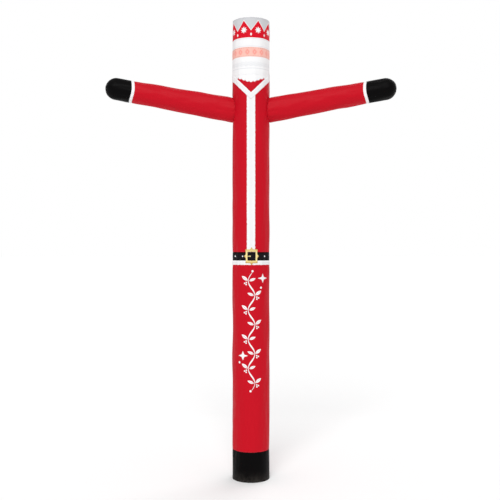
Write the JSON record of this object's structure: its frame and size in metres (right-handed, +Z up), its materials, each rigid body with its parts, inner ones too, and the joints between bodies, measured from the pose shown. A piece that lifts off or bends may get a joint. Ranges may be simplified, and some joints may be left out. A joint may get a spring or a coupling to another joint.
{
  "type": "inflatable air dancer",
  "caption": "Tall inflated cloth tube with two raised arms, banded head, belt and open base hem, standing upright for outdoor display over a blower.",
  "frame": {"origin": "centre of the base hem, on the surface it stands on", "axes": "+Z up along the trunk, +X along the arm on the right as seen from the front, the front faces -Y"},
  "size_m": [3.6006, 0.4614, 5.6582],
  "materials": {
    "red_cloth": "taut coated ripstop nylon, red, faint sheen",
    "black_cloth": "taut coated ripstop nylon, black, faint sheen",
    "white_cloth": "white brushed trim cloth, matt",
    "grey_cloth": "taut coated ripstop nylon, pale grey",
    "gold_cloth": "gold foiled cloth, satin"
  },
  "bodies": {
    "root": {"base_cuff": "black_cloth", "lower_tube": "red_cloth", "hem_band": "white_cloth", "belt_band": "black_cloth", "chest_tube": "red_cloth", "head_tube": "white_cloth", "top_panel": "grey_cloth", "sleeve_left": "red_cloth", "sleeve_right": "red_cloth", "cuff_left": "white_cloth", "cuff_right": "white_cloth", "hand_left": "black_cloth", "hand_right": "black_cloth", "collar": "white_cloth", "placket": "white_cloth", "buckle": "gold_cloth", "buckle_prong": "gold_cloth"}
  },
  "joints": []
}
